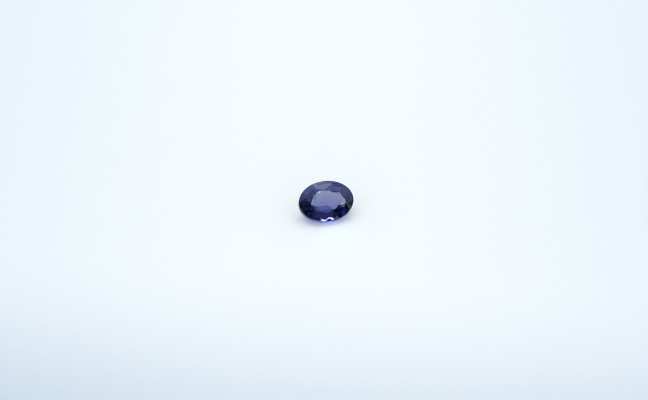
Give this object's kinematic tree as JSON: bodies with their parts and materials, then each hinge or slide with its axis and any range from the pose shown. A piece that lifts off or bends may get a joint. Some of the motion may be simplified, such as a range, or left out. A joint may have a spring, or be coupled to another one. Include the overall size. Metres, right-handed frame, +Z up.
{
  "type": "faceted spinel",
  "caption": "Loose oval gemstone of violet-blue spinel: flat table, low brilliant-style crown, thin girdle and a stepped pavilion ending in a short keel.",
  "frame": {"origin": "on the surface that the stone lies on, under the middle of its bounding box", "axes": "+Z up, +X along the stone's length, -Y the side that the table leans towards"},
  "size_m": [0.008, 0.005, 0.0042],
  "materials": {
    "spinel": "polished facets, clear violet-blue crystal"
  },
  "bodies": {
    "root": {"spinel": "spinel"}
  },
  "joints": []
}
